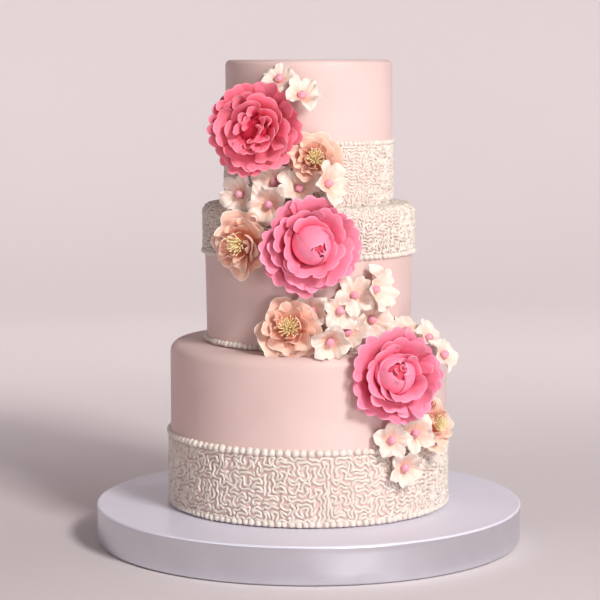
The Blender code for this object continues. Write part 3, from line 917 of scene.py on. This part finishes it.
def curled_heart(parts, size, draw, count, spread, tall, roll, middle):
    """The heart of a peony: small curled petals that stand on a low dome and lean in every direction."""
    dome = turned([(0.36, 0.20), (0.30, 0.32), (0.16, 0.40), (0.0, 0.42)], 32)
    # The dome takes the deep root colour, partly painted shade.
    parts.add(dome.points[0] * size, dome.faces, 0.3, 0.2)
    for number in range(count):
        away = spread * math.sqrt((number + 0.3) / count)
        spot = number * SPIRAL_STEP + draw.uniform(-0.3, 0.3)
        shift = (middle[0] + away * math.cos(spot), middle[1] + away * math.sin(spot))
        curl = roll * draw.uniform(0.8, 1.2)
        top = tall - 0.3 * away + draw.uniform(-0.03, 0.04)
        flare = curl * draw.uniform(1.3, 2.0)
        profile = ((curl * 0.5, 0.30), (curl * 0.7, 0.36), (curl * 0.8, top - 0.06), (flare, top))
        facing = spot + draw.uniform(-1.2, 1.2)
        petal(parts, size, profile, facing, draw.uniform(0.8, 1.4), HEART_STYLE, draw, 25, 11, shift)


def open_bloom_parts(name, size, hanging):
    """An open bloom: rings of thin wavy petals, of which the inner ones curl in round the stamens."""
    draw = random.Random(name)
    parts = Parts()
    rings = (
        (5, ((0.06, 0.00), (0.50, 0.00), (0.70, 0.22), (1.02, 0.26)), 44, 0.11),
        (5, ((0.06, 0.05), (0.42, 0.05), (0.55, 0.36), (0.82, 0.42)), 38, 0.11),
        (4, ((0.06, 0.12), (0.42, 0.12), (0.54, 0.38), (0.58, 0.57)), 38, 0.10),
        (3, ((0.06, 0.18), (0.36, 0.20), (0.44, 0.40), (0.36, 0.57)), 34, 0.07),
    )
    for level, (count, profile, half, ruffle) in enumerate(rings):
        start = level * 0.6 + draw.uniform(-0.1, 0.1)
        style = dict(BLOOM_STYLE, ruffle=ruffle)
        for number in range(count):
            centre = start + TURN * (number + draw.uniform(-0.12, 0.12)) / count
            change = draw.uniform(0.88, 1.06) * (1 - (1 - hanging) * max(0.0, -math.sin(centre)))
            lift = draw.uniform(-0.05, 0.08)
            shaped = [(radius * change, height + lift * radius) for radius, height in profile]
            petal(parts, size, shaped, centre, math.radians(half), style, draw, columns=25)
    return parts


def stamen_parts(name, size):
    """A tuft of stamens that fans out, each a thin stem with a small tip."""
    draw = random.Random(name)
    parts = Parts()
    count = 40
    for number in range(count):
        spread = 0.36 * math.sqrt(number / count) * draw.uniform(0.8, 1.1)
        angle = number * SPIRAL_STEP
        root = Vector((0.2 * spread * math.cos(angle), 0.2 * spread * math.sin(angle), 0.30)) * size
        tip_height = 0.86 - 0.35 * spread + draw.uniform(-0.12, 0.04)
        tip = Vector((spread * math.cos(angle), spread * math.sin(angle), tip_height)) * size
        bend = Vector((draw.uniform(-1, 1), draw.uniform(-1, 1), 0)) * 0.04 * size
        stem(parts, [root, (root + tip) / 2 + bend, tip], draw.uniform(0.52, 0.66) * MM, draw.random())
        bead(parts, tip, draw.uniform(0.60, 0.78) * MM, draw.random())
    return parts


def stem(parts, path, radius, tone):
    """A thin round stem through a few points."""
    sides = 5
    points, rim = [], []
    for index, point in enumerate(path):
        ahead = (path[min(index + 1, len(path) - 1)] - path[max(index - 1, 0)]).normalized()
        side = ahead.orthogonal().normalized()
        other = ahead.cross(side)
        for corner in range(sides):
            angle = TURN * corner / sides
            points.append(point + radius * (math.cos(angle) * side + math.sin(angle) * other))
            rim.append(0.8 * index / (len(path) - 1))
    parts.add(points, grid_faces(len(path), sides, closed=True), rim, tone)


def bead(parts, centre, radius, tone):
    """A small round bead."""
    ball, faces = unit_ball(6, 4)
    parts.add(ball * radius + np.array(centre), faces, 1.0, tone)


def bell(value, width):
    """1 where a value is 0, which falls off smoothly within about a width."""
    return np.exp(-((value / width) ** 2))


def blossom_parts(name, size, cup):
    """A small blossom: one thin cup that ends in five pointed petals with lifted, wavy edges."""
    draw = random.Random(name)
    columns, rows, petals = 90, 13, 5
    angle = np.arange(columns)[None, :] * TURN / columns
    t = np.linspace(0.04, 1, rows)[:, None]
    share = (angle + 0.16 * np.sin(angle + draw.uniform(0, TURN))) / TURN * petals
    number = np.floor(share).astype(int) % petals
    side = share % 1 * 2 - 1
    from_notch = 1 - np.abs(side)
    ranges = ((0.92, 1.06), (-0.22, 0.26), (0.0, 1.0))
    drawn = [[draw.uniform(*ends) for _ in range(petals)] for ends in ranges]
    reaches, lifts, square = np.array(drawn)[:, number]
    ripple = smooth_noise(draw, 6, 4, 16)(angle)
    tip = 1 - 0.26 * np.abs(side) ** (1.1 + 1.8 * square) + 0.12 * bell(side, 0.2) * (1 - square)
    notch = 0.74
    outline = notch + (tip * reaches - notch) * np.clip(from_notch * 5, 0, 1)
    reach = t * outline * (1 + 0.05 * ripple * t)
    bowl = 1.3 * cup * reach**1.4
    lift = lifts * np.cos(side * math.pi / 2) * reach**2.5
    edge = 0.24 * np.abs(side) ** 3 * t**4 + 0.17 * ripple * t**3
    rib = 0.09 * bell(side, 0.16) * t**1.2
    droop = 1.3 * np.clip(reach - 0.78, 0, 1) ** 1.2
    fold = 0.10 * bell(from_notch, 0.16) * t**1.5
    grid = round_grid(reach, angle, bowl + lift + edge - rib - droop - fold) * size * PETAL_SPREAD
    points, faces, rim = sheet(grid, 0.7 * MM, closed=True)
    parts = Parts()
    parts.add(points, faces, rim, draw.random())
    return parts


def ball_parts():
    """The sugar pearl in a blossom."""
    return turned(arc(0.0, BALL_HEIGHT, BALL_RADIUS, -90, 90, 13), 20)


def aim(angle, turn, tilt, spin):
    """Rotation that faces a flower outwards at an angle round the cake, then turned, tilted and spun."""
    upright = Euler((math.pi / 2, 0, 0)).to_matrix().to_4x4()
    around = Matrix.Rotation(math.radians(angle + turn), 4, "Z")
    lift = Matrix.Rotation(-math.radians(tilt), 4, "X")
    return around @ upright @ lift @ Matrix.Rotation(math.radians(spin), 4, "Z")


def place_of(node, row, lowest):
    """Where a flower's solid stands. Its distance out is read from how far back its solid reaches.

    lowest is the height of the solid's rearmost point in the flower's own axes.
    """
    angle, height, turn, tilt, spin = row[:5]
    facing = aim(angle, turn, tilt, spin)
    ahead = facing.to_3x3() @ Vector((0, 0, 1))
    outward = Vector((math.sin(math.radians(angle)), -math.cos(math.radians(angle)), 0))
    back = min(ahead.dot(vertex.co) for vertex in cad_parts[node].data.vertices)
    distance = (back - lowest - ahead.z * height) / ahead.dot(outward)
    return Matrix.Translation(outward * distance + Vector((0, 0, height))) @ facing


def build_peonies():
    """The three peonies, of which the upper one is redder."""
    red = peony_material("peony_red", (1.0, 0.20, 0.29), (1.0, 0.34, 0.44))
    pink = peony_material("peony_pink", (1.0, 0.27, 0.40), (1.0, 0.42, 0.57))
    for number, (row, paste) in enumerate(zip(PEONIES, (red, pink, pink)), 1):
        name = f"peony_{number}"
        peony_parts(name, row[-1]).finish(f"{name}_petals", paste, "peony", name, place_of(name, row, 0.0))


def build_open_blooms():
    """The four open blooms with their stamens."""
    peach, yellow = peach_material(), stamen_material()
    for number, row in enumerate(OPEN_BLOOMS, 1):
        name, tuft = f"open_bloom_{number}", f"stamens_{number}"
        size, hanging = row[5:]
        place = place_of(name, row, 0.0)
        open_bloom_parts(name, size, hanging).finish(f"{name}_petals", peach, "open_bloom", name, place)
        stamen_parts(tuft, size).finish(f"{tuft}_tuft", yellow, "stamens", tuft, place)


def build_blossoms():
    """The twenty blossoms with their pink sugar pearls."""
    ivory, pink = ivory_material(), ball_material()
    for number, row in enumerate(BLOSSOMS, 1):
        name, ball = f"blossom_{number:02d}", f"blossom_centre_{number:02d}"
        size, cup = row[5:]
        place = place_of(name, row, -CALYX)
        blossom_parts(name, size, cup).finish(f"{name}_petals", ivory, "blossom", name, place)
        ball_parts().finish(f"{ball}_pearl", pink, "blossom_centre", ball, place)


# The studio


def floor_material():
    """Matt pale paper."""
    made, tree, shader = new_material("floor_pale", (0.80, 0.73, 0.74), 0.9)
    broad = span(tree, noise(tree, 1.2, 2.0), 0.3, 0.7, 0.0, 1.0)
    colour = mix(tree, broad, (0.79, 0.72, 0.73), (0.81, 0.74, 0.75))
    tree.links.new(colour, shader.inputs["Base Color"])
    shader.inputs["Specular IOR Level"].default_value = 0.1
    return made


def build_floor():
    """A plain pale floor that sweeps up all round into a low wall, open above."""
    below = -0.5 * MM
    flat, rim, wall = 1.8, 3.8, 2.2
    profile = [(0.0, below), (0.5, below)]
    profile += [(flat + (rim - flat) * share, below + wall * share**3) for share in np.linspace(0, 1, 24)]
    turned(profile, 128).make("floor", floor_material())


def area_light(name, place, target, size, power, colour, spread=180):
    """A square area light that faces a point, with the angle in degrees over which it spreads."""
    light = bpy.data.lights.new(name, "AREA")
    light.shape = "SQUARE"
    light.size = size
    light.spread = math.radians(spread)
    light.energy = power
    light.color = colour
    thing = bpy.data.objects.new(name, light)
    thing.location = place
    thing.rotation_euler = (Vector(target) - Vector(place)).to_track_quat("-Z", "Y").to_euler()
    bpy.context.scene.collection.objects.link(thing)


def around(azimuth, elevation, distance):
    """A place about the cake's middle, with its azimuth counted from the front towards the right."""
    turn, lift = math.radians(azimuth), math.radians(elevation)
    across = distance * math.cos(lift)
    return (across * math.sin(turn), -across * math.cos(turn), CAKE_MIDDLE + distance * math.sin(lift))


def build_lights():
    """A soft key from the front right, weak lights from the front and left, the backdrop's, and the world."""
    target = (0.0, 0.0, CAKE_MIDDLE)
    area_light("key", around(33, 33, 2.5), target, 0.5, 48.5, (0.99, 0.965, 0.945))
    area_light("front", around(21, 1, 2.3), target, 0.42, 1.4, (0.96, 0.98, 1.0), 70)
    area_light("fill", around(-38, 28, 2.5), target, 0.6, 4.0, (1.0, 0.97, 0.95))
    for side in (-1, 1):
        area_light(f"backdrop_{side}", (side * 1.1, 0.9, 1.6), (0.0, 3.4, 0.8), 0.9, 20.0, (1.0, 0.97, 0.97))
    world = bpy.data.worlds.new("studio")
    world.use_nodes = True
    backdrop = world.node_tree.nodes["Background"]
    backdrop.inputs["Color"].default_value = (0.84, 0.72, 0.74, 1.0)
    backdrop.inputs["Strength"].default_value = 0.19
    bpy.context.scene.world = world


def build_camera():
    """The camera at the photograph's place, with a plain view transform."""
    scene = bpy.context.scene
    scene.view_settings.view_transform = "Standard"
    camera = bpy.data.cameras.new("camera")
    camera.lens = LENS
    camera.sensor_width = SENSOR
    eye = bpy.data.objects.new("camera", camera)
    eye.location = CAMERA_PLACE
    eye.rotation_euler = (math.radians(90 - CAMERA_DOWN), 0, math.radians(CAMERA_LEFT))
    scene.collection.objects.link(eye)
    scene.camera = eye


build_lights()
build_camera()
build_floor()
build_stand()
build_icing(icing_material())
ivory_piping = piping_material()
build_pearls(ivory_piping)
build_lace(ivory_piping)
build_peonies()
build_open_blooms()
build_blossoms()
